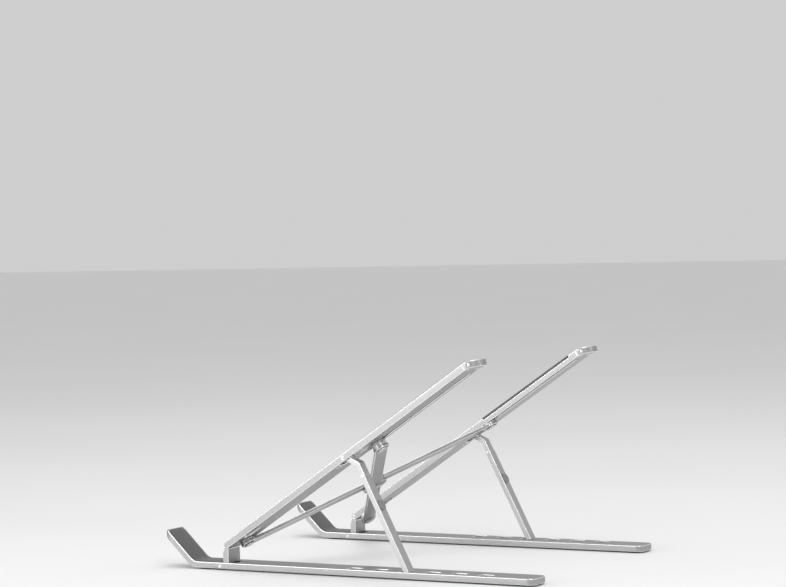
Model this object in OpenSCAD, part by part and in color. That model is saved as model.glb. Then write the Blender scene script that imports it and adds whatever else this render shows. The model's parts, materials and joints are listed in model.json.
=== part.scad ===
// Foldable aluminium laptop stand: two side frames joined by a scissor of two flat links.
// Datum of the drawing: Y = 0 at the middle of the posts, Z = 0 at the underside of the base rails.
// X is across the stand (+X is the user's right), +Y is to the rear, +Z is up.

/* [Stance] */
// Spacing of the two side frames, centre to centre, when the stand is open
stand_width = 156; // [140:1:190]
// Notch that the leg feet stand in, counted from the front
rest_notch = 3; // [1:1:5]

/* [Base rail] */
// Width of the base rails and the upper rails
rail_w = 18.4; // [18:0.2:24]
// Thickness of the base rail
base_t = 3.8; // [3.4:0.1:5.5]
// Length of the base rail behind the post datum
base_len = 210; // [172:0.5:255]
// Radius of the base rail's corners in plan, at the rear and at the hook's tip
base_corner_r = 5; // [2:0.5:7]
// Start of the hook's bend, in front of the datum
hook_start = 19; // [14:0.5:24]
// Outer radius of the hook's bend
hook_r = 11.3; // [8:0.1:16]
// Angle that the hook turns up through
hook_angle = 44; // [30:1:60]
// Straight length of the hook past its bend
hook_len = 24; // [16:0.5:32]

/* [Notches] */
// Number of notches in each base rail
notch_count = 6; // [5:1:7]
// Centre of the first notch
notch_first = 89.5; // [84:0.5:94]
// Distance from the last notch's centre to the rail's rear end
notch_margin = 33; // [16:0.5:36]
// Length of a notch
notch_len = 7.5; // [7:0.1:9]
// Depth of a notch
notch_depth = 2; // [1.6:0.1:2.4]
// Corner radius of a notch
notch_r = 0.8; // [0.4:0.1:1]

/* [Post and hinge] */
// Width of the hinge post
post_w = 13.4; // [11:0.2:15.5]
// Thickness of the post
post_t = 3.9; // [3:0.1:5]
// Height of the hinge axis above the base rail's underside
hinge_z = 14.8; // [14.5:0.1:20]
// Radius of the post's knuckle
knuckle_r = 2; // [1.8:0.05:2.3]
// Diameter of the hinge pins
hinge_pin_d = 2; // [1.6:0.1:2.4]
// Diameter of the cross pin that holds the post in the base rail
post_pin_d = 1.8; // [1.4:0.1:2]
// Distance of the cross pin in front of the datum
post_pin_y = 2.6; // [2.4:0.1:6]

/* [Upper rail] */
// Thickness of the upper rail
rail_t = 4.1; // [4:0.1:5.5]
// Distance from the hinge axis to the leg pin, along the rail
leg_pin_s = 100.2; // [92:0.1:104]
// Distance from the hinge axis to the front link pivot, along the rail
link_front_s = 6.5; // [6:0.5:14]
// Distance between a link's front and rear pivots along the rail, when open
link_reach = 112; // [96:0.5:120]
// Gap left between the two side frames when the scissor is closed
closed_gap = 0.5; // [0.4:0.1:3]
// Solid wall between the slider groove and the end cap
groove_wall = 4; // [1:0.1:8]
// Angle that the end cap turns down through
cap_angle = 22.5; // [15:0.5:30]
// Centre-line radius of the end cap's bend
cap_r = 12; // [9:0.5:16]
// Straight length of the end cap past its bend
cap_len = 4.6; // [4:0.1:12]
// Radius of the end cap's corners in plan
cap_corner_r = 8; // [4:0.5:8.5]

/* [Legs] */
// Width of the leg
leg_w = 7.4; // [6.4:0.1:9]
// Thickness of the leg
leg_t = 3.3; // [2.8:0.1:3.6]
// Length from the leg pin to the foot's centre, along the leg
leg_len = 77.6; // [70:0.2:94]
// Offset of the leg's centre-line from its pin
leg_offset = 6.1; // [5.4:0.1:7.4]
// Distance of the elbow from the pin, along the leg
elbow_at = 7.4; // [6:0.1:9]
// Distance of the shoulder, where the leg widens, from the pin
shoulder_at = 15; // [13:0.5:20]
// Diameter of the leg pin
leg_pin_d = 1.8; // [1.4:0.1:2]
// Diameter of the round bumper on the leg
bumper_d = 6.6; // [5:0.1:7]
// Distance of the bumper from the leg pin, along the leg
bumper_at = 35.3; // [28:0.5:60]

/* [Links] */
// Thickness of a link
link_t = 2; // [1.6:0.1:2.6]
// Width of a link
link_w = 8.4; // [7:0.1:8.5]
// Diameter of a link's round ends
link_end_d = 10; // [9:0.1:10.4]
// Diameter of the round boss at a link's middle
boss_d = 16.6; // [14:0.1:18.6]
// Diameter of the pivot shanks in the links
shank_d = 3; // [2.4:0.1:3.4]
// Diameter of the centre rivet's shank
centre_d = 4; // [3:0.1:5]
// Diameter of the slider heads in the grooves
head_d = 5.2; // [4.8:0.1:5.4]

/* [Soft parts] */
// Depth of the pads' recesses in the hook and the rail
pad_sink = 1; // [0.8:0.05:1.2]
// Height that the pads stand proud
pad_proud = 0.4; // [0.2:0.1:0.8]
// Width of the metal rim around the hook pad
pad_rim = 1.6; // [1:0.1:2.5]
// Length of the upper rail's pad
rail_pad_len = 74; // [50:1:76]
// Height of the rubber feet below the base rail
foot_drop = 0.9; // [0.6:0.1:2]
// Length of a rubber foot
foot_len = 10; // [9:0.5:14]
// Width of a rubber foot
foot_w = 13; // [9:0.5:15]

/* [Hidden] */
$fn = 64;

// Clearances
pin_gap = 0.05;      // a pin or shank turning in its bore, on the radius
swing_gap = 0.3;     // moving faces beside each other
face_gap = 0.1;      // stacked faces that slide over each other
seat_gap = 0.15;     // foot above the notch floor, slider head above and below
fit_gap = 0.05;      // fixed pieces seated in a slot or a recess

// Walls and small features
outer_wall = 1;      // rail wall outside the leg slot
inner_wall = 1.9;    // rail wall beside the slider groove
lip_t = 0.8;         // lip that holds a slider head in its groove
slider_head_t = 0.8;
washer_t = 0.7;      // washer between a link and the rail
washer_d = 9.2;
rivet_head_d = 6.4;
rivet_head_t = 0.9;
layer_gap = 0.2;     // between the two links where they cross
centre_head_t = 0.5; // upper head of the centre rivet
centre_head_d = 7.4;
rivet_wall = 1.4;    // metal left above a rivet's shank
foot_sink = 0.5;     // pocket that holds a rubber foot
foot_corner_r = 3;
foot_inset = 4.5;    // from the rail's rear end to the rear foot
bumper_proud = 1.2;
bumper_sink = 0.6;
notch_play = 0.4;    // room for the leg at each side of a notch
post_foot_wall = 1;  // metal in front of the cross pin
post_recess_len = 6; // shallow run behind the post
post_recess_r = 2.4;
post_recess_inset = 0.5;
hinge_back = 0.5;    // hinge axis behind the post's rear face
pin_blind = 1;       // metal left over the hinge pin's outer end
pin_end_gap = 0.1;   // pin ends sit this far inside their bores
leg_pin_hold = 1.4;  // how far the leg pin goes into the rail past the leg slot
slot_r = 1.5;        // corners of the leg slot
slot_play = 1;       // room in front of the leg's elbow
pocket_len = 14;     // finger pocket at the folded leg's foot
pocket_depth = 1;
pocket_shift = 3;
catch_r = 1.5;       // ball catch in front of the leg slot
catch_proud = 0.5;   // how far the ball stands out of the rail
catch_wall = 0.9;    // rail between the ball's bore and the leg slot
tongue_w = 8.3;      // tongue inside the end cap
cap_pin_at = 0.7;    // share of the cap's bend at which its pin sits
eps = 0.01;

// Places across a side frame, measured outwards from the rail's centre
leg_x = rail_w / 2 - outer_wall - swing_gap - leg_w / 2;
groove_w = head_d + 2 * swing_gap;
groove_x = -(rail_w / 2 - inner_wall - groove_w / 2);

// The scissor, in the plane of the upper rails
pivot_x = stand_width / 2 + groove_x;
link_span = norm([2 * pivot_x, link_reach]);
closed_x = (rail_w + closed_gap) / 2 + groove_x;
closed_reach = sqrt(pow(link_span, 2) - pow(2 * closed_x, 2));
link_rear_s = link_front_s + link_reach;
groove_end_s = link_front_s + closed_reach + groove_w / 2;
groove_start_s = link_rear_s - groove_w / 2;
rail_len = groove_end_s + groove_wall;
link_angle = atan2(link_reach, 2 * pivot_x);
scissor_s = link_front_s + link_reach / 2;

// Layers under the upper rail, heights from the rail's mid-plane
under = -rail_t / 2;
link_a_top = under - washer_t - face_gap;
link_b_top = link_a_top - link_t - layer_gap;

// The notches, and the tilt that the chosen notch gives
foot_r = leg_t / 2;
notch_pitch = (base_len - notch_margin - notch_first) / (notch_count - 1);
function notch_y(i) = notch_first + i * notch_pitch;
hinge_y = post_t / 2 + hinge_back;
seat_y = notch_y(rest_notch - 1) + notch_len / 2 - foot_r - swing_gap;
seat_z = base_t - notch_depth + foot_r + seat_gap;
seat_dist = norm([seat_y - hinge_y, seat_z - hinge_z]);
leg_reach = norm([leg_len, leg_offset]);
seat_angle = atan2(seat_z - hinge_z, seat_y - hinge_y);
hinge_cos = (pow(leg_pin_s, 2) + pow(seat_dist, 2) - pow(leg_reach, 2)) / (2 * leg_pin_s * seat_dist);
hinge_corner = acos(hinge_cos);
tilt = seat_angle + hinge_corner;
leg_pin_y = hinge_y + leg_pin_s * cos(tilt);
leg_pin_z = hinge_z + leg_pin_s * sin(tilt);
leg_line = atan2(seat_z - leg_pin_z, seat_y - leg_pin_y) - atan2(leg_offset, leg_len);
leg_swing = tilt - leg_line;

// The leg's elbow and the slot that it swings in
elbow_dir = atan2(leg_offset, elbow_at);
leg_eye_d = rail_t - 0.4;
neck_t = leg_t - 0.3;
neck_w = leg_w - 0.8;
leg_slot_w = leg_w + 2 * swing_gap;
leg_pin_len = rail_w / 2 - leg_x + leg_slot_w / 2 + leg_pin_hold;
slot_front = abs(under) / tan(elbow_dir) + neck_t / 2 / sin(elbow_dir) + slot_play;
slot_rear = groove_start_s - inner_wall - leg_pin_s;
folded_tip_s = leg_pin_s - leg_len - foot_r;
catch_s = leg_pin_s - slot_front - catch_wall - catch_r;
catch_z = under + catch_r - catch_proud;

// The post: its knuckle narrows to the post's faces over these drops, leaning back
neck_rear_drop = 0.6;
neck_front_drop = 3.4;
neck_lean = 20;
post_foot_y = post_pin_y + post_pin_d / 2 + post_foot_wall;
post_foot_top = base_t - pad_sink;
post_pin_z = post_foot_top / 2;

// The hook
hook_in_r = hook_r - base_t;
tip_trim = 0.4;      // taken off the hook's sharp front edge
hook_y = hook_start + hook_r * sin(hook_angle) + hook_len * cos(hook_angle) - tip_trim;
y_shift = (hook_y - base_len) / 2;
pad_t = pad_sink + pad_proud;
rail_pad_w = rail_w - outer_wall;
pad_rear_s = groove_end_s - 2;
rivet_depth = rail_t - rivet_wall;
hinge_pin_len = rail_w - pin_blind - 2 * pin_end_gap;
bend_steps = 16;
hook_pad_end = 3;    // metal left at the hook's tip
hook_pad_r = 3;

// ---- Placing ----

// From the drawing's datum to the stand's own frame: bottom centre of the open stand
module stand_frame() {
    translate([0, y_shift, foot_drop]) children();
}

// A side frame is drawn with x pointing outwards from its rail's centre
module right() {
    stand_frame() translate([stand_width / 2, 0, 0]) children();
}

module left() {
    stand_frame() mirror([1, 0, 0]) translate([stand_width / 2, 0, 0]) children();
}

// Rail frame: y runs up the rail from the hinge, z is square to the rail's mid-plane
module on_rail() {
    translate([0, hinge_y, hinge_z]) rotate([tilt, 0, 0]) children();
}

// Leg frame: y runs from the leg pin to the foot, z points to the leg's rear face
module on_leg() {
    on_rail() translate([leg_x, leg_pin_s, 0]) rotate([-leg_swing, 0, 0]) children();
}

// The links' plane, with x across the whole stand
module scissor_frame() {
    stand_frame() on_rail() children();
}

// ---- Shapes ----

// A rod along X, centred at the origin
module rod(d, len) {
    rotate([0, 90, 0]) cylinder(d = d, h = len, center = true);
}

// A side-view outline drawn in Y and Z, given a width along X
module across(width) {
    rotate([90, 0, 90]) linear_extrude(width, center = true) children();
}

// A rectangle with four round corners, centred
module round_rect(w, l, r) {
    square([w - 2 * r, l], center = true);
    square([w, l - 2 * r], center = true);
    for (x = [-1, 1], y = [-1, 1]) translate([x * (w / 2 - r), y * (l / 2 - r)]) circle(r);
}

// A run with two half-round ends, centred, its length along y
module stadium(w, l) {
    square([w, l - w], center = true);
    for (y = [-1, 1]) translate([0, y * (l - w) / 2]) circle(d = w);
}

// A block with its bottom at z = 0 and its plan corners rounded
module round_block(w, l, h, r) {
    linear_extrude(h) round_rect(w, l, r);
}

// What two round plan corners take off an end at y = 0 that faces +y
module corner_trim(w, r, h) {
    side = r + 2 * eps;
    for (x = [-1, 1]) difference() {
        translate([x * (w / 2 - r / 2 + eps), -r / 2 + eps, 0]) cube([side, side, h], center = true);
        translate([x * (w / 2 - r), -r, 0]) cylinder(r = r, h = h + 1, center = true);
    }
}

// A bar along y with square ends, from y0 to y1 and z0 to z1
module bar(w, y0, y1, z0, z1) {
    translate([-w / 2, y0, z0]) cube([w, y1 - y0, z1 - z0]);
}

// Points on an arc about the origin, from one angle to another
function arc(r, from, to) = [
    for (i = [0 : bend_steps])
        let (a = from + (to - from) * i / bend_steps)
        r * [cos(a), sin(a)]
];

// Points moved to where a bend's centre is
function moved(points, by) = [for (p = points) p + by];

// The side view of a strip that follows the hook's inside: flat, round the bend, up to the tip.
// z0 and z1 are heights above the base rail's top, y1 is where its rear end is.
module hook_outline(z0, z1, y1) {
    r_top = hook_in_r - z1;
    r_bottom = hook_in_r - z0;
    centre = [-hook_start, hook_r];
    up = hook_len * [-cos(hook_angle), sin(hook_angle)];
    low = centre + r_bottom * [-sin(hook_angle), -cos(hook_angle)];
    high = centre + r_top * [-sin(hook_angle), -cos(hook_angle)];
    polygon(concat(
        [[y1, base_t + z1], [y1, base_t + z0]],
        moved(arc(r_bottom, -90, -90 - hook_angle), centre),
        [low + up, high + up],
        moved(arc(r_top, -90 - hook_angle, -90), centre)
    ));
}

// A tall prism over a rectangle with round corners, from y0 to y1, to trim a rail in plan
module plan_prism(w, y0, y1, r) {
    translate([0, (y0 + y1) / 2, -base_len / 4]) round_block(w, y1 - y0, base_len / 2, r);
}

// ---- Side frame: base ----

module base_rail() {
    color([0.78, 0.79, 0.80]) difference() {
        intersection() {
            across(rail_w + 2) hook_outline(-base_t, 0, base_len + 2);
            plan_prism(rail_w, -hook_y, base_len, base_corner_r);
        }
        hook_strip(-pad_sink, 1);
        post_slot();
        for (i = [0 : notch_count - 1]) notch(i);
        for (place = [0, 1]) foot_pocket(place);
        translate([0, -post_pin_y, post_pin_z]) rod(post_pin_d, rail_w + 1);
    }
}

// What lines the hook: from its tip, inside the metal rim, back to the post
module hook_strip(z0, z1) {
    intersection() {
        across(rail_w) hook_outline(z0, z1, -post_t / 2);
        plan_prism(rail_w - 2 * pad_rim, hook_pad_end - hook_y, base_len / 2, hook_pad_r);
    }
}

// The slot that the post stands in, with a shallow round-ended run behind it
module post_slot() {
    bar(post_w + 2 * fit_gap, -post_foot_y - fit_gap, post_t / 2 + fit_gap, -1, base_t + 1);
    translate([0, post_t / 2 + 1, base_t - pad_sink])
        round_block(post_w - 2 * post_recess_inset, post_recess_len, pad_sink + 1, post_recess_r);
}

module notch(i) {
    translate([leg_x, notch_y(i), base_t - notch_depth])
        round_block(leg_w + 2 * notch_play, notch_len, notch_depth + 1, notch_r);
}

// Where the rubber feet are along the rail: 0 is the front one, 1 the rear one
function foot_y(place) = [-hook_start + foot_len / 2, base_len - foot_inset - foot_len / 2][place];

module foot_pocket(place) {
    grow = 2 * fit_gap;
    translate([0, foot_y(place), -1])
        round_block(foot_w + grow, foot_len + grow, foot_sink + 1, foot_corner_r + fit_gap);
}

module rubber_foot(place) {
    color([0.07, 0.07, 0.07]) translate([0, foot_y(place), -foot_drop])
        round_block(foot_w, foot_len, foot_drop + foot_sink, foot_corner_r);
}

module hook_pad() {
    color([0.20, 0.20, 0.21]) hook_strip(-pad_sink, pad_proud);
}

// The post stands in its slot on a foot that the cross pin holds, with the hinge knuckle on top
module post() {
    color([0.74, 0.75, 0.76]) difference() {
        union() {
            bar(post_w, -post_foot_y, 0, 0, post_foot_top);
            across(post_w) polygon([
                [-post_t / 2, 0], [post_t / 2, 0],
                [post_t / 2, hinge_z - knuckle_r - neck_rear_drop],
                [hinge_y + knuckle_r * cos(neck_lean), hinge_z - knuckle_r * sin(neck_lean)],
                [hinge_y - knuckle_r * cos(neck_lean), hinge_z + knuckle_r * sin(neck_lean)],
                [-post_t / 2, hinge_z - knuckle_r - neck_front_drop]
            ]);
            translate([0, hinge_y, hinge_z]) rod(2 * knuckle_r, post_w);
        }
        translate([0, hinge_y, hinge_z]) rod(hinge_pin_d + 2 * pin_gap, post_w + 1);
        translate([0, -post_pin_y, post_pin_z]) rod(post_pin_d, post_w + 1);
    }
}

module post_pin() {
    color([0.62, 0.62, 0.63]) translate([0, -post_pin_y, post_pin_z]) rod(post_pin_d, rail_w);
}

// ---- Side frame: upper rail ----

// The hinge pin sits in a bore that is blind at its outer end
module hinge_pin() {
    color([0.62, 0.62, 0.63]) on_rail()
        translate([-pin_blind / 2, 0, 0]) rod(hinge_pin_d, hinge_pin_len);
}

// The bent end: the rail's own thickness round the bend, then a straight run.
// grow makes it thicker on both faces, for cutting, and back is how far it starts before the bend.
module bent_end(w, angle, straight, grow = 0, back = 0) {
    r0 = cap_r - rail_t / 2 - grow;
    r1 = cap_r + rail_t / 2 + grow;
    centre = [rail_len, -cap_r];
    along = straight * [cos(angle), -sin(angle)];
    end_dir = [sin(angle), cos(angle)];
    across(w) polygon(concat(
        [[rail_len - back, r0 - cap_r], [rail_len - back, r1 - cap_r]],
        moved(arc(r1, 90, 90 - angle), centre),
        [centre + r1 * end_dir + along, centre + r0 * end_dir + along],
        moved(arc(r0, 90 - angle, 90), centre)
    ));
}

// On the rail's centre line, some angle round the end cap's bend
module at_bend(angle) {
    translate([0, rail_len, -cap_r]) rotate([-angle, 0, 0]) translate([0, 0, cap_r]) children();
}

module upper_rail() {
    color([0.78, 0.79, 0.80]) on_rail() difference() {
        union() {
            bar(rail_w, 0, rail_len, -rail_t / 2, rail_t / 2);
            rod(rail_t, rail_w);
            bent_end(tongue_w, cap_angle, 0, 0, 1);
        }
        bar(post_w + 2 * swing_gap, -rail_t, knuckle_r + swing_gap, -rail_t, rail_t);
        translate([-(pin_blind + 1) / 2, 0, 0]) rod(hinge_pin_d, rail_w - pin_blind + 1);
        slider_groove();
        leg_slot();
        leg_pocket();
        leg_pin_place(1) rod(leg_pin_d, leg_pin_len + 1);
        pad_recess();
        translate([groove_x, link_front_s, under - 1]) cylinder(d = shank_d, h = rivet_depth + 1);
        at_bend(cap_pin_at * cap_angle) rod(leg_pin_d, rail_w);
        translate([leg_x, catch_s, catch_z - 2 * catch_r]) cylinder(r = catch_r, h = 3 * catch_r);
    }
}

// The T-shaped groove that a link's slider runs in, open to the underside
module slider_groove() {
    mid = (groove_start_s + groove_end_s) / 2;
    run = groove_end_s - groove_start_s;
    translate([groove_x, mid, under + lip_t])
        linear_extrude(slider_head_t + 2 * seat_gap) stadium(groove_w, run);
    translate([groove_x, mid, under - 1])
        linear_extrude(lip_t + 1 + seat_gap) stadium(shank_d + 2 * swing_gap, run - head_d + shank_d);
}

// The slot that the leg's eye and elbow swing in, right through the rail
module leg_slot() {
    translate([leg_x, leg_pin_s + (slot_rear - slot_front) / 2, -rail_t])
        round_block(leg_slot_w, slot_rear + slot_front, 2 * rail_t, slot_r);
}

// A shallow finger pocket in the underside at the folded leg's foot
module leg_pocket() {
    translate([leg_x, folded_tip_s - pocket_shift, under - 1])
        linear_extrude(pocket_depth + 1) stadium(leg_slot_w, pocket_len);
}

// The middle of the leg pin, which starts at the rail's outer face, or further out by past
module leg_pin_place(past = 0) {
    translate([(rail_w - leg_pin_len + past) / 2, leg_pin_s, 0]) children();
}

// The pad's recess is open at the rail's inner side and walled at its outer side
module pad_recess() {
    translate([-outer_wall / 2 - 1, pad_rear_s - rail_pad_len / 2, rail_t / 2 + pad_sink / 2])
        cube([rail_pad_w + 2, rail_pad_len, 3 * pad_sink], center = true);
}

module rail_pad() {
    color([0.16, 0.16, 0.17]) on_rail()
        translate([-(outer_wall + fit_gap) / 2, pad_rear_s - rail_pad_len / 2, rail_t / 2 - pad_sink])
            linear_extrude(pad_t) square([rail_pad_w - fit_gap, rail_pad_len - 2 * fit_gap], center = true);
}

module end_cap() {
    color([0.78, 0.79, 0.80]) on_rail() difference() {
        bent_end(rail_w, cap_angle, cap_len);
        bent_end(tongue_w + 2 * fit_gap, cap_angle, fit_gap, 1, 1);
        at_bend(cap_pin_at * cap_angle) rod(leg_pin_d, rail_w + 1);
        at_bend(cap_angle) translate([0, cap_len, 0]) corner_trim(rail_w, cap_corner_r, 4 * cap_r);
    }
}

module end_cap_pin() {
    color([0.62, 0.62, 0.63]) on_rail() at_bend(cap_pin_at * cap_angle) rod(leg_pin_d, rail_w - 1);
}

// A ball catch for the folded leg, pressed into the rail's underside
module leg_catch() {
    color([0.80, 0.80, 0.81]) on_rail() translate([leg_x, catch_s, catch_z]) {
        cylinder(r = catch_r, h = catch_r);
        sphere(catch_r);
    }
}

// ---- Side frame: leg ----

module leg() {
    color([0.80, 0.81, 0.82]) on_leg() difference() {
        union() {
            rod(leg_eye_d, neck_w);
            rotate([elbow_dir, 0, 0])
                bar(neck_w, 0, norm([elbow_at, leg_offset]), -neck_t / 2, neck_t / 2);
            translate([0, elbow_at, leg_offset]) {
                rod(neck_t, neck_w);
                bar(neck_w, 0, shoulder_at - elbow_at, -neck_t / 2, neck_t / 2);
            }
            bar(leg_w, shoulder_at, leg_len, leg_offset - leg_t / 2, leg_offset + leg_t / 2);
            translate([0, leg_len, leg_offset]) rod(leg_t, leg_w);
        }
        rod(leg_pin_d + 2 * pin_gap, leg_w + 1);
        bumper_place() cylinder(d = bumper_d, h = bumper_sink + 1);
    }
}

// The floor of the bumper's pocket in the leg's rear face
module bumper_place() {
    translate([0, bumper_at, leg_offset + leg_t / 2 - bumper_sink]) children();
}

module leg_bumper() {
    color([0.45, 0.46, 0.47]) on_leg()
        bumper_place() cylinder(d = bumper_d, h = bumper_sink + bumper_proud);
}

module leg_pin() {
    color([0.62, 0.62, 0.63]) on_rail() leg_pin_place() rod(leg_pin_d, leg_pin_len);
}

// ---- The scissor ----

// A flat link with round ends and a round boss at its middle, its top face at z = 0
module link(lean) {
    rotate([0, 0, lean]) translate([0, 0, -link_t]) difference() {
        linear_extrude(link_t) {
            square([link_span, link_w], center = true);
            circle(d = boss_d);
            for (x = [-1, 1]) translate([x * link_span / 2, 0]) circle(d = link_end_d);
        }
        children();
    }
}

// A link's bore, some distance along it from its middle
module link_bore(x, d) {
    translate([x, 0, 0]) cylinder(d = d, h = 4 * link_t, center = true);
}

module link_a() {
    color([0.80, 0.81, 0.82]) scissor_frame() translate([0, scissor_s, link_a_top]) link(-link_angle) {
        link_bore(0, centre_d);
        link_bore(link_span / 2, shank_d + 2 * pin_gap);
        link_bore(-link_span / 2, shank_d);
    }
}

module link_b() {
    color([0.80, 0.81, 0.82]) scissor_frame() translate([0, scissor_s, link_b_top]) link(link_angle) {
        link_bore(0, centre_d + 2 * pin_gap);
        link_bore(-link_span / 2, shank_d + 2 * pin_gap);
        link_bore(link_span / 2, shank_d);
    }
}

// A front pivot rivet, fixed in the rail, with the link hanging on its shank
module link_rivet(link_top) {
    bottom = link_top - link_t - face_gap;
    color([0.70, 0.70, 0.71]) on_rail() translate([groove_x, link_front_s, 0]) {
        translate([0, 0, bottom - rivet_head_t]) cylinder(d = rivet_head_d, h = rivet_head_t);
        translate([0, 0, bottom - eps]) cylinder(d = shank_d, h = under + rivet_depth - bottom + eps);
    }
}

// A ring around a shank that fills the space between the rail and a link
module spacer_ring(top, height, bore) {
    translate([0, 0, top - height]) difference() {
        cylinder(d = washer_d, h = height);
        translate([0, 0, -1]) cylinder(d = bore, h = height + 2);
    }
}

module front_spacer(link_top) {
    height = under - link_top - face_gap;
    color([0.66, 0.66, 0.67]) on_rail() translate([groove_x, link_front_s, 0])
        spacer_ring(under, height, shank_d);
}

// A slider button, fixed in the link's rear end, with its head in the rail's groove
module slider(x, link_top) {
    head_z = under + lip_t + seat_gap;
    bottom = link_top - link_t;
    color([0.70, 0.70, 0.71]) scissor_frame() translate([x, link_rear_s, 0]) {
        translate([0, 0, head_z]) cylinder(d = head_d, h = slider_head_t);
        translate([0, 0, bottom]) cylinder(d = shank_d, h = head_z - bottom + eps);
        translate([0, 0, bottom - rivet_head_t]) cylinder(d = rivet_head_d, h = rivet_head_t);
    }
}

module slider_spacer(x, link_top) {
    color([0.66, 0.66, 0.67]) scissor_frame() translate([x, link_rear_s, 0])
        spacer_ring(under - face_gap, under - face_gap - link_top, shank_d);
}

// The centre rivet: fixed in link A, with link B turning on it
module centre_rivet() {
    bottom = link_b_top - link_t - face_gap;
    color([0.70, 0.70, 0.71]) scissor_frame() translate([0, scissor_s, 0]) {
        translate([0, 0, link_a_top]) cylinder(d = centre_head_d, h = centre_head_t);
        translate([0, 0, bottom]) cylinder(d = centre_d, h = link_a_top - bottom + eps);
        translate([0, 0, bottom - rivet_head_t]) cylinder(d = centre_head_d, h = rivet_head_t);
    }
}

// A thin washer between the two links
module centre_washer() {
    color([0.25, 0.25, 0.26]) scissor_frame() translate([0, scissor_s, 0])
        spacer_ring(link_a_top - link_t, layer_gap - face_gap, centre_d);
}

right() base_rail();  // right_base_rail
right() hook_pad();  // right_hook_pad
right() rubber_foot(0);  // right_front_foot
right() rubber_foot(1);  // right_rear_foot
right() post();  // right_post
right() post_pin();  // right_post_pin
right() hinge_pin();  // right_hinge_pin
right() upper_rail();  // right_upper_rail
right() rail_pad();  // right_rail_pad
right() end_cap();  // right_end_cap
right() end_cap_pin();  // right_end_cap_pin
right() leg();  // right_leg
right() leg_pin();  // right_leg_pin
right() leg_bumper();  // right_leg_bumper
right() leg_catch();  // right_leg_catch
right() link_rivet(link_a_top);  // right_link_rivet
right() front_spacer(link_a_top);  // right_link_washer
left() base_rail();  // left_base_rail
left() hook_pad();  // left_hook_pad
left() rubber_foot(0);  // left_front_foot
left() rubber_foot(1);  // left_rear_foot
left() post();  // left_post
left() post_pin();  // left_post_pin
left() hinge_pin();  // left_hinge_pin
left() upper_rail();  // left_upper_rail
left() rail_pad();  // left_rail_pad
left() end_cap();  // left_end_cap
left() end_cap_pin();  // left_end_cap_pin
left() leg();  // left_leg
left() leg_pin();  // left_leg_pin
left() leg_bumper();  // left_leg_bumper
left() leg_catch();  // left_leg_catch
left() link_rivet(link_b_top);  // left_link_rivet
left() front_spacer(link_b_top);  // left_link_spacer
link_a();
link_b();
slider(-pivot_x, link_a_top);  // link_a_slider
slider(pivot_x, link_b_top);  // link_b_slider
slider_spacer(-pivot_x, link_a_top);  // link_a_washer
slider_spacer(pivot_x, link_b_top);  // link_b_spacer
centre_rivet();
centre_washer();
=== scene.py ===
import json
import math

import bmesh
import bpy
import numpy as np
from mathutils import Matrix, Vector


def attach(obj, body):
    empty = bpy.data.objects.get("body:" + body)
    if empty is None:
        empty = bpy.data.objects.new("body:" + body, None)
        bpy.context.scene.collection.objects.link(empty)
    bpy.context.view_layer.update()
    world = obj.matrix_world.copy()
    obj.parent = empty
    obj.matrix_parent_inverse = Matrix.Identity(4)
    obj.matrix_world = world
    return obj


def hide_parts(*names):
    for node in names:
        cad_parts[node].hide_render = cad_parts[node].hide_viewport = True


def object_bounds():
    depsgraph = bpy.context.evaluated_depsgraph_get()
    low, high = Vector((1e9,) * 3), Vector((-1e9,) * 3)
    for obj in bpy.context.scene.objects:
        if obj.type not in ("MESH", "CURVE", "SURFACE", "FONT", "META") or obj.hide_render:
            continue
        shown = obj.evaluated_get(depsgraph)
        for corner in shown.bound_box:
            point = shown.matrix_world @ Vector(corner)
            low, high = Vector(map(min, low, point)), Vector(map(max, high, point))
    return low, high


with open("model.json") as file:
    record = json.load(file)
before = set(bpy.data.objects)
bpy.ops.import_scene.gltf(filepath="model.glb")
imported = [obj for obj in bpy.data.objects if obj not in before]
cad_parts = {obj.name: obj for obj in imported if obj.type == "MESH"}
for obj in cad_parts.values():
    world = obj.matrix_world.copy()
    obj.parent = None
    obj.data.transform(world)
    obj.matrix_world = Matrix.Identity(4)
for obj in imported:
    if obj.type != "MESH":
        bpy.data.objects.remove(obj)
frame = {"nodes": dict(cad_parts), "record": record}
cad_low, cad_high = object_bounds()
record = frame["record"]

MM = 0.001

# Camera: where it stands, which way it looks, and its lens
CAMERA_PLACE = Vector((1.3247, 0.72575, 0.1991))
CAMERA_HEADING = math.radians(29.017)   # from -X towards -Y
CAMERA_PITCH = math.radians(-1.253)
CAMERA_ROLL = math.radians(-1.278)
LENS_MM = 110.9
SENSOR_MM = 36.0
CLIP_NEAR, CLIP_FAR = 0.05, 60

# Edge rounding of the metal pieces, and the angles that make an edge sharp, creased or flat
RAIL_EDGE = 0.35 * MM
LEG_EDGE = 0.3 * MM
LINK_EDGE = 0.25 * MM
RING_EDGE = 0.12 * MM
EDGE_ANGLE = math.radians(28)
CREASE = math.radians(38)
WELD = 0.001 * MM
FLAT_ANGLE = math.radians(0.6)

# Turned pieces: edge radius, crown and centre dimple of each kind
PIN_TURNING = (0.18 * MM, 0.03 * MM, 0.05 * MM)
RIVET_TURNING = (0.3 * MM, 0.2 * MM, 0.18 * MM)
BUMPER_TURNING = (0.35 * MM, 0.28 * MM, 0.0)
SLIDER_TURNING = (0.22 * MM, 0.15 * MM, 0.18 * MM)

# Where an end face has its rings, as shares of its radius, and how far out its dimple reaches
DIMPLE_REACH = 0.34
END_RINGS = (1, 0.8, 0.6, 0.45, DIMPLE_REACH, 0.22, 0.1, 0)
TURN_SEGMENTS = 56
CORNER_STEPS = 4
CORNER_SHARE = 0.45   # the most that a rounded corner takes of the straights beside it

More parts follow.
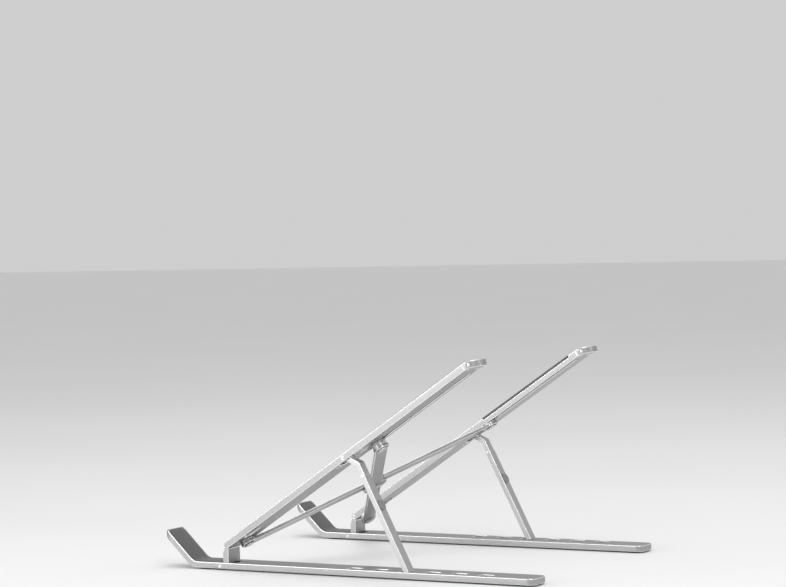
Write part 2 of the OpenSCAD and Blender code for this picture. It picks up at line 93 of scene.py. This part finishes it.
# Grooves in the rubber pieces, and the rounding of their edges
RUBBER_EDGE = 0.3 * MM
GROOVE_CUTS = (-0.5, -0.25, 0.25, 0.5)   # across a groove, as shares of its width
GROOVE_FLOOR = 0.3                       # vertices nearer its middle line than this share move down
PAD_GROOVE = {"width": 0.9 * MM, "depth": 0.22 * MM, "end": 2.4 * MM}
FOOT_GROOVE = {"width": 1.2 * MM, "depth": 0.35 * MM, "end": 1.6 * MM}
FACING_UP = 0.7
HOOK_PAD_GROOVES = 0
RAIL_PAD_GROOVES = 5
FOOT_GROOVES = 4

# Studio: each softbox's name, place, size and power, then the surround and the floor
SOFTBOXES = (
    ("side_softbox", (1.3, -0.75, 0.4), (1.0, 0.7), 8.0),
    ("top_softbox", (0.1, 0.2, 1.6), (1.2, 1.2), 8.5),
    ("rear_softbox", (-0.5, 1.6, 0.7), (1.0, 0.6), 2.5),
    ("edge_softbox", (1.0, 1.0, 0.95), (0.6, 0.5), 4.5),
)
SURROUND_LIGHT = 0.62
FLOOR_HALF = 15
FLOOR_GAP = 0.02 * MM

SIDES = ("right", "left")


# ---- Facts from the frame ----

def body_of_node():
    """The body that each CAD node rides on."""
    return {n: body for body, nodes in record["behaviour"]["bodies"].items() for n in nodes}


def slot_of_node():
    """The material slot that each CAD node has."""
    return {part["node"]: part["material_slot"] for part in record["subparts"]}


def points_of(node):
    """A CAD node's vertices, each place once."""
    found = {tuple(round(c, 7) for c in v.co) for v in frame["nodes"][node].data.vertices}
    return np.array(sorted(found))


def spread_axes(node):
    """A node's mean point, the directions it spreads in, from least to most, and each spread."""
    points = points_of(node)
    centre = points.mean(0)
    spread, axes = np.linalg.eigh(np.cov((points - centre).T))
    return centre, axes.T, spread


BODY = body_of_node()
SLOT = slot_of_node()
MOUNT = {m["name"]: m for m in record["mounts"]}
RAIL_UP = Vector(MOUNT["laptop_rest"]["axis"])


# ---- Materials ----

class Finish:
    """A material: a Principled shader, and the texture nodes that feed it."""

    def __init__(self, name, **fixed):
        self.material = bpy.data.materials.new(name)
        self.material.use_nodes = True
        self.tree = self.material.node_tree
        self.shader = self.tree.nodes["Principled BSDF"]
        self.place = self.tree.nodes.new("ShaderNodeTexCoord").outputs["Object"]
        for socket, value in fixed.items():
            self.shader.inputs[socket.replace("_", " ")].default_value = value

    def noise(self, scale, detail=2.0, rough=0.5, place=None):
        """Soft noise; scale is in cycles per metre."""
        node = self.tree.nodes.new("ShaderNodeTexNoise")
        node.inputs["Scale"].default_value = scale
        node.inputs["Detail"].default_value = detail
        node.inputs["Roughness"].default_value = rough
        self.tree.links.new(place or self.place, node.inputs["Vector"])
        return node.outputs["Fac"]

    def dimples(self, scale):
        """Rounded cells, like the dents that blasting leaves."""
        node = self.tree.nodes.new("ShaderNodeTexVoronoi")
        node.feature = "SMOOTH_F1"
        node.inputs["Scale"].default_value = scale
        self.tree.links.new(self.place, node.inputs["Vector"])
        return node.outputs["Distance"]

    def between(self, source, low, high, start=0.3, end=0.7):
        """The source's values from start to end, spread from low to high."""
        node = self.tree.nodes.new("ShaderNodeMapRange")
        for socket, value in (("From Min", start), ("From Max", end), ("To Min", low), ("To Max", high)):
            node.inputs[socket].default_value = value
        self.tree.links.new(source, node.inputs["Value"])
        return node.outputs["Result"]

    def tint(self, source, dark, light, start=0.3, end=0.7):
        """A colour between two, by the source."""
        node = self.tree.nodes.new("ShaderNodeMix")
        node.data_type = "RGBA"
        node.inputs[6].default_value = (*dark, 1)
        node.inputs[7].default_value = (*light, 1)
        self.tree.links.new(self.between(source, 0, 1, start, end), node.inputs[0])
        return node.outputs[2]

    def product(self, colour, other):
        """Two colours multiplied."""
        node = self.tree.nodes.new("ShaderNodeMix")
        node.data_type = "RGBA"
        node.blend_type = "MULTIPLY"
        node.inputs[0].default_value = 1
        self.tree.links.new(colour, node.inputs[6])
        self.tree.links.new(other, node.inputs[7])
        return node.outputs[2]

    def brushed(self, along, across, stretch):
        """Coordinates for marks that run along a direction, stretch times longer than wide."""
        square = Vector(along).cross(Vector(across))
        turn = Matrix((along, across, square)).to_euler()
        turned = self.tree.nodes.new("ShaderNodeMapping")
        turned.inputs["Rotation"].default_value = turn
        self.tree.links.new(self.place, turned.inputs["Vector"])
        squeezed = self.tree.nodes.new("ShaderNodeMapping")
        squeezed.inputs["Scale"].default_value = (1 / stretch, 1, 1)
        self.tree.links.new(turned.outputs["Vector"], squeezed.inputs["Vector"])
        return squeezed.outputs["Vector"]

    def colour(self, source):
        self.tree.links.new(source, self.shader.inputs["Base Color"])

    def roughness(self, source):
        self.tree.links.new(source, self.shader.inputs["Roughness"])

    def bumps(self, *layers):
        """Layers of relief, each a source with its height in metres."""
        normal = None
        for source, height in layers:
            node = self.tree.nodes.new("ShaderNodeBump")
            node.inputs["Strength"].default_value = 1
            node.inputs["Distance"].default_value = height
            self.tree.links.new(source, node.inputs["Height"])
            if normal:
                self.tree.links.new(normal, node.inputs["Normal"])
            normal = node.outputs["Normal"]
        self.tree.links.new(normal, self.shader.inputs["Normal"])


def grey(value, warm=0.0):
    """A near-neutral colour."""
    return (value * (1 + warm), value, value * (1 - warm))


def blasted_aluminium(name, light):
    """Satin silver: a fine even grain from bead blasting under a clear anodised skin."""
    finish = Finish(name, Metallic=1.0)
    grain = finish.noise(scale=1500, detail=3, rough=0.6)
    cloud = finish.noise(scale=38, detail=3, rough=0.55)
    handled = finish.noise(scale=9)
    base = finish.tint(grain, dark=grey(light * 0.78), light=grey(light * 1.1))
    finish.colour(finish.product(base, finish.tint(cloud, dark=grey(0.95, 0.003), light=grey(1.0))))
    satin = finish.between(grain, low=0.36, high=0.50)
    patch = finish.between(handled, low=-0.03, high=0.03)
    total = finish.tree.nodes.new("ShaderNodeMath")
    total.operation = "ADD"
    finish.tree.links.new(satin, total.inputs[0])
    finish.tree.links.new(patch, total.inputs[1])
    finish.roughness(total.outputs[0])
    dents = finish.dimples(scale=2600)
    ripple = finish.noise(scale=1200, detail=3)
    finish.bumps((dents, 0.02 * MM), (ripple, 0.02 * MM))
    return finish.material


def cut_edge():
    """The bright chamfer that a diamond tool leaves along a blasted part's edges."""
    finish = Finish("bright_cut_edge", Metallic=1.0)
    marks = finish.noise(scale=2400)
    wear = finish.noise(scale=140, detail=4, rough=0.6)
    finish.colour(finish.tint(wear, dark=grey(0.88), light=grey(0.97)))
    finish.roughness(finish.between(marks, low=0.14, high=0.26))
    finish.bumps((marks, 0.004 * MM))
    return finish.material


def brushed_steel(name, node, light):
    """Satin strip steel, with its rolling marks along the link."""
    _, axes, _ = spread_axes(node)
    finish = Finish(name, Metallic=1.0)
    rolled = finish.brushed(along=axes[2], across=axes[1], stretch=40)
    lines = finish.noise(scale=2200, detail=3, rough=0.6, place=rolled)
    cloud = finish.noise(scale=60, detail=3)
    base = finish.tint(lines, dark=grey(light * 0.84), light=grey(light * 1.04))
    finish.colour(finish.product(base, finish.tint(cloud, dark=grey(0.93), light=grey(1.0))))
    finish.roughness(finish.between(lines, low=0.26, high=0.42))
    finish.bumps((lines, 0.008 * MM))
    return finish.material


def turned_steel():
    """Plain pressed and peened pins."""
    finish = Finish("turned_pin_steel", Metallic=1.0)
    fine = finish.noise(scale=2600, detail=3, rough=0.6)
    stain = finish.noise(scale=420, detail=3)
    finish.colour(finish.tint(stain, dark=grey(0.52), light=grey(0.66)))
    finish.roughness(finish.between(fine, low=0.24, high=0.40))
    finish.bumps((fine, 0.006 * MM))
    return finish.material


def rubber(name, dark, light, rough, specks, sheen=0.0):
    """Moulded silicone or rubber: a matt skin with fine pores, and a little dust in the hollows."""
    finish = Finish(name, Metallic=0.0, Specular_IOR_Level=0.35, Sheen_Weight=sheen)
    skin = finish.noise(scale=1600, detail=4, rough=0.6)
    dust = finish.noise(scale=260, detail=4, rough=0.65)
    base = finish.tint(skin, dark=grey(dark), light=grey(light))
    dusty = finish.tint(dust, dark=grey(1.0), light=grey(1.0 + specks), start=0.5, end=0.75)
    finish.colour(finish.product(base, dusty))
    finish.roughness(finish.between(skin, low=rough - 0.07, high=rough + 0.07))
    finish.bumps((finish.dimples(scale=2000), 0.02 * MM), (skin, 0.02 * MM))
    return finish.material


def nylon():
    """The dark plastic of the washer between the links."""
    finish = Finish("nylon_washer", Metallic=0.0)
    cloud = finish.noise(scale=500, detail=3)
    finish.colour(finish.tint(cloud, dark=grey(0.05), light=grey(0.08)))
    finish.roughness(finish.between(cloud, low=0.42, high=0.58))
    finish.bumps((finish.noise(scale=2400), 0.01 * MM))
    return finish.material


EDGE = cut_edge()
PIN = turned_steel()
FINISH = {
    "rail_aluminium": blasted_aluminium("blasted_rail", light=0.43),
    "post_aluminium": blasted_aluminium("blasted_post", light=0.43),
    "leg_aluminium": blasted_aluminium("blasted_leg", light=0.55),
    "pin_steel": PIN,
    "pad_silicone": rubber(
        "pad_silicone_skin", dark=0.085, light=0.115, rough=0.62, specks=0.25, sheen=0.15),
    "foot_rubber": rubber(
        "foot_rubber_skin", dark=0.014, light=0.024, rough=0.72, specks=0.8),
    "bumper_rubber": rubber(
        "bumper_rubber_skin", dark=0.20, light=0.26, rough=0.58, specks=0.15, sheen=0.1),
    "nylon": nylon(),
}


# ---- Metal pieces that keep their CAD shape ----

def dress(node, finish, edge):
    """Gives a CAD node its finish, and rounds its sharp edges, which get the bright cut."""
    piece = frame["nodes"][node]
    piece.data.materials.clear()
    piece.data.materials.append(finish)
    piece.data.materials.append(EDGE)
    normals = piece.data.attributes.get("custom_normal")
    if normals:
        piece.data.attributes.remove(normals)
    piece.data.polygons.foreach_set("use_smooth", [True] * len(piece.data.polygons))
    weld = piece.modifiers.new("weld", "WELD")
    weld.merge_threshold = WELD
    flat = piece.modifiers.new("flat", "DECIMATE")
    flat.decimate_type = "DISSOLVE"
    flat.angle_limit = FLAT_ANGLE
    bevel = piece.modifiers.new("edge", "BEVEL")
    bevel.width = edge
    bevel.segments = 2
    bevel.limit_method = "ANGLE"
    bevel.angle_limit = EDGE_ANGLE
    bevel.use_clamp_overlap = False
    bevel.miter_outer = "MITER_ARC"
    bevel.material = 1
    level = piece.modifiers.new("level", "WEIGHTED_NORMAL")
    level.keep_sharp = False


# ---- Mesh tools ----

def add_piece(name, mesh, node, finish):
    """A new piece that stands for a CAD node, on that node's body."""
    mesh.materials.append(finish)
    piece = bpy.data.objects.new(name, mesh)
    bpy.context.scene.collection.objects.link(piece)
    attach(piece, BODY[node])
    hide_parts(node)


def shade(mesh):
    """Smooth shading that breaks at edges sharper than the crease."""
    mesh.polygons.foreach_set("use_smooth", [True] * len(mesh.polygons))
    mesh.set_sharp_from_angle(angle=CREASE)


def round_corner(before, corner, after, size):
    """Points on a small curve in place of a corner of a profile."""
    back, ahead = before - corner, after - corner
    reach = min(size, CORNER_SHARE * back.length, CORNER_SHARE * ahead.length)
    start = corner + back.normalized() * reach
    end = corner + ahead.normalized() * reach
    curve = []
    for i in range(CORNER_STEPS + 1):
        t = i / CORNER_STEPS
        curve.append(start * (1 - t) ** 2 + corner * 2 * t * (1 - t) + end * t ** 2)
    return curve


def turned_profile(heights, radii):
    """The steps of a turned piece as (height, radius) points, from one end to the other."""
    levels = {}
    for height, radius in zip(np.round(heights, 6), np.round(radii, 6)):
        levels.setdefault(height, set()).add(radius)
    last = min(levels[min(levels)])
    steps = []
    for height in sorted(levels):
        steps += [Vector((height, r)) for r in sorted(levels[height], key=lambda r: abs(r - last))]
        last = steps[-1].y
    return steps


def crowned_end(height, radius, side, crown, dimple):
    """An end face as points from its rim to its middle: crowned, with a shallow centre dimple."""
    points = []
    for share in END_RINGS:
        drop = crown * share ** 2 + dimple * max(0.0, 1 - (share / DIMPLE_REACH) ** 2)
        points.append(Vector((height - side * drop, radius * share)))
    return points


def spin(profile, centre, axis):
    """A closed solid of revolution from a profile whose two ends lie on the axis."""
    axis = Vector(axis).normalized()
    first = axis.orthogonal().normalized()
    second = axis.cross(first)
    maker = bmesh.new()
    rings = []
    for height, radius in profile:
        base = Vector(centre) + axis * height
        if radius < WELD:
            rings.append([maker.verts.new(base)])
            continue
        ring = []
        for i in range(TURN_SEGMENTS):
            turn = 2 * math.pi * i / TURN_SEGMENTS
            outward = first * math.cos(turn) + second * math.sin(turn)
            ring.append(maker.verts.new(base + radius * outward))
        rings.append(ring)
    for low, high in zip(rings, rings[1:]):
        for i in range(TURN_SEGMENTS):
            j = (i + 1) % TURN_SEGMENTS
            corners = [low[i % len(low)], low[j % len(low)], high[j % len(high)], high[i % len(high)]]
            unique = list(dict.fromkeys(corners))
            if len(unique) > 2:
                maker.faces.new(unique)
    bmesh.ops.recalc_face_normals(maker, faces=maker.faces)
    mesh = bpy.data.meshes.new("turned")
    maker.to_mesh(mesh)
    maker.free()
    return mesh


def turn_piece(node, name, turning):
    """A turned piece in place of a plain CAD one: its own steps, rounded edges, crowned ends."""
    edge, crown, dimple = turning
    centre, axes, spread = spread_axes(node)
    flat = spread[1] - spread[0] > spread[2] - spread[1]
    axis = axes[0] if flat else axes[2]
    offset = points_of(node) - centre
    heights = offset @ axis
    radii = np.linalg.norm(offset - np.outer(heights, axis), axis=1)
    steps = turned_profile(heights, radii)
    steps[0].x += crown
    steps[-1].x -= crown
    outline = []
    for i, corner in enumerate(steps):
        before = steps[i - 1] if i else Vector((corner.x, 0))
        after = steps[i + 1] if i + 1 < len(steps) else Vector((corner.x, 0))
        outline += round_corner(before, corner, after, edge)
    low = crowned_end(steps[0].x - crown, outline[0].y, -1, crown, dimple)
    high = crowned_end(steps[-1].x + crown, outline[-1].y, 1, crown, dimple)
    profile = low[::-1][:-1] + outline + high[1:]
    mesh = spin([tuple(p) for p in profile], centre, axis)
    shade(mesh)
    add_piece(name, mesh, node, FINISH[SLOT[node]])


def cut_line(maker, place, direction):
    """Splits every face of a mesh along a plane."""
    everything = maker.verts[:] + maker.edges[:] + maker.faces[:]
    bmesh.ops.bisect_plane(maker, geom=everything, dist=WELD, plane_co=place, plane_no=direction)


def moulded_piece(node, name, up, along, grooves, width, depth, end):
    """A rubber part in place of a plain CAD one: edges rounded, grooves in the face that looks up."""
    maker = bmesh.new()
    maker.from_mesh(frame["nodes"][node].data)
    bmesh.ops.remove_doubles(maker, verts=maker.verts, dist=WELD)
    bmesh.ops.dissolve_limit(maker, angle_limit=FLAT_ANGLE, verts=maker.verts, edges=maker.edges)
    sharp = [e for e in maker.edges if e.is_manifold and e.calc_face_angle(0) > EDGE_ANGLE]
    bmesh.ops.bevel(
        maker, geom=sharp, offset=RUBBER_EDGE, segments=3, profile=0.5,
        affect="EDGES", clamp_overlap=False, miter_outer="ARC",
    )
    up, along = Vector(up).normalized(), Vector(along).normalized()
    across = up.cross(along)
    sides = [v.co.dot(across) for v in maker.verts]
    ends = [v.co.dot(along) for v in maker.verts]
    middle = (min(sides) + max(sides)) / 2
    pitch = (max(sides) - min(sides)) / (grooves + 1)
    lines = [middle + (i - (grooves - 1) / 2) * pitch for i in range(grooves)]
    for line in lines:
        for step in GROOVE_CUTS:
            cut_line(maker, across * (line + step * width), across)
    low, high = min(ends) + end, max(ends) - end
    for place in (low, low + width / 2, high - width / 2, high):
        cut_line(maker, along * place, along)
    maker.normal_update()
    floor = [
        v for v in maker.verts
        if v.normal.dot(up) > FACING_UP
        and low + width / 4 < v.co.dot(along) < high - width / 4
        and any(abs(v.co.dot(across) - line) < GROOVE_FLOOR * width for line in lines)
    ]
    for vertex, move in [(v, v.normal * -depth) for v in floor]:
        vertex.co += move
    mesh = bpy.data.meshes.new(name)
    maker.to_mesh(mesh)
    maker.free()
    shade(mesh)
    add_piece(name, mesh, node, FINISH[SLOT[node]])


# ---- The stand's pieces ----

def metal_pieces():
    """Frames, links and washers, which keep their CAD shape."""
    edges = {
        "base_rail": RAIL_EDGE, "upper_rail": RAIL_EDGE, "end_cap": RAIL_EDGE,
        "post": LEG_EDGE, "leg": LEG_EDGE, "leg_catch": RING_EDGE,
    }
    for side in SIDES:
        for part, edge in edges.items():
            node = f"{side}_{part}"
            dress(node, FINISH[SLOT[node]], edge)
    for node in ("right_link_washer", "left_link_spacer", "link_a_washer", "link_b_spacer"):
        dress(node, PIN, RING_EDGE)
    for node in ("link_a", "link_b"):
        dress(node, brushed_steel(f"brushed_{node}", node, light=0.40), LINK_EDGE)
    washer = frame["nodes"]["centre_washer"]
    washer.data.materials.clear()
    washer.data.materials.append(FINISH["nylon"])


def turned_pieces():
    """Pins, rivets, sliders and leg bumpers."""
    for side in SIDES:
        for part in ("post_pin", "hinge_pin", "leg_pin", "end_cap_pin"):
            turn_piece(f"{side}_{part}", f"{side}_{part}_turned", PIN_TURNING)
        turn_piece(f"{side}_link_rivet", f"{side}_link_rivet_turned", RIVET_TURNING)
        turn_piece(f"{side}_leg_bumper", f"{side}_leg_bumper_moulded", BUMPER_TURNING)
    for node in ("link_a_slider", "link_b_slider", "centre_rivet"):
        turn_piece(node, f"{node}_turned", SLIDER_TURNING)


def rubber_pieces():
    """Pads and feet."""
    up, down, rearward = (0, 0, 1), (0, 0, -1), (0, 1, 0)
    up_rail = Vector((1, 0, 0)).cross(RAIL_UP) * -1
    for side in SIDES:
        hook_pad, rail_pad = f"{side}_hook_pad", f"{side}_rail_pad"
        moulded_piece(hook_pad, f"{hook_pad}_moulded", up, rearward, HOOK_PAD_GROOVES, **PAD_GROOVE)
        moulded_piece(rail_pad, f"{rail_pad}_moulded", RAIL_UP, up_rail, RAIL_PAD_GROOVES, **PAD_GROOVE)
        for foot in (f"{side}_front_foot", f"{side}_rear_foot"):
            moulded_piece(foot, f"{foot}_moulded", down, rearward, FOOT_GROOVES, **FOOT_GROOVE)


# ---- Studio ----

def add_camera():
    """The photograph's view."""
    forward = Vector((
        -math.cos(CAMERA_HEADING) * math.cos(CAMERA_PITCH),
        -math.sin(CAMERA_HEADING) * math.cos(CAMERA_PITCH),
        math.sin(CAMERA_PITCH),
    ))
    level = forward.cross(Vector((0, 0, 1))).normalized()
    upright = level.cross(forward)
    right = level * math.cos(CAMERA_ROLL) + upright * math.sin(CAMERA_ROLL)
    up = upright * math.cos(CAMERA_ROLL) - level * math.sin(CAMERA_ROLL)
    data = bpy.data.cameras.new("camera")
    data.lens = LENS_MM
    data.sensor_width = SENSOR_MM
    data.clip_start = CLIP_NEAR
    data.clip_end = CLIP_FAR
    camera = bpy.data.objects.new("camera", data)
    turn = Matrix((right, up, -forward)).transposed().to_4x4()
    camera.matrix_world = Matrix.Translation(CAMERA_PLACE) @ turn
    bpy.context.scene.collection.objects.link(camera)
    bpy.context.scene.camera = camera


def add_softbox(name, place, aim, size, power):
    """A rectangular light that looks at a point."""
    data = bpy.data.lights.new(name, "AREA")
    data.shape = "RECTANGLE"
    data.size, data.size_y = size
    data.energy = power
    light = bpy.data.objects.new(name, data)
    direction = Vector(aim) - Vector(place)
    turn = direction.to_track_quat("-Z", "Y").to_matrix().to_4x4()
    light.matrix_world = Matrix.Translation(place) @ turn
    bpy.context.scene.collection.objects.link(light)


def add_lights():
    middle = (cad_low + cad_high) / 2
    for name, place, size, power in SOFTBOXES:
        add_softbox(name, place, middle, size, power)


def add_world():
    """An even white surround, and a plain view of the colours."""
    world = bpy.data.worlds.new("studio")
    world.use_nodes = True
    world.node_tree.nodes["Background"].inputs["Color"].default_value = (1, 1, 1, 1)
    world.node_tree.nodes["Background"].inputs["Strength"].default_value = SURROUND_LIGHT
    bpy.context.scene.world = world
    bpy.context.scene.view_settings.view_transform = "Standard"


def add_floor():
    """A wide pale floor, just under the feet."""
    maker = bmesh.new()
    bmesh.ops.create_grid(maker, x_segments=1, y_segments=1, size=FLOOR_HALF)
    mesh = bpy.data.meshes.new("floor")
    maker.to_mesh(mesh)
    maker.free()
    finish = Finish("pale_floor", Metallic=0.0)
    cloud = finish.noise(scale=3)
    finish.colour(finish.tint(cloud, dark=grey(0.86), light=grey(0.88)))
    finish.roughness(finish.between(cloud, low=0.6, high=0.7))
    mesh.materials.append(finish.material)
    floor = bpy.data.objects.new("floor", mesh)
    floor.location.z = cad_low.z - FLOOR_GAP
    bpy.context.scene.collection.objects.link(floor)


add_camera()
add_world()
add_lights()
add_floor()
metal_pieces()
turned_pieces()
rubber_pieces()
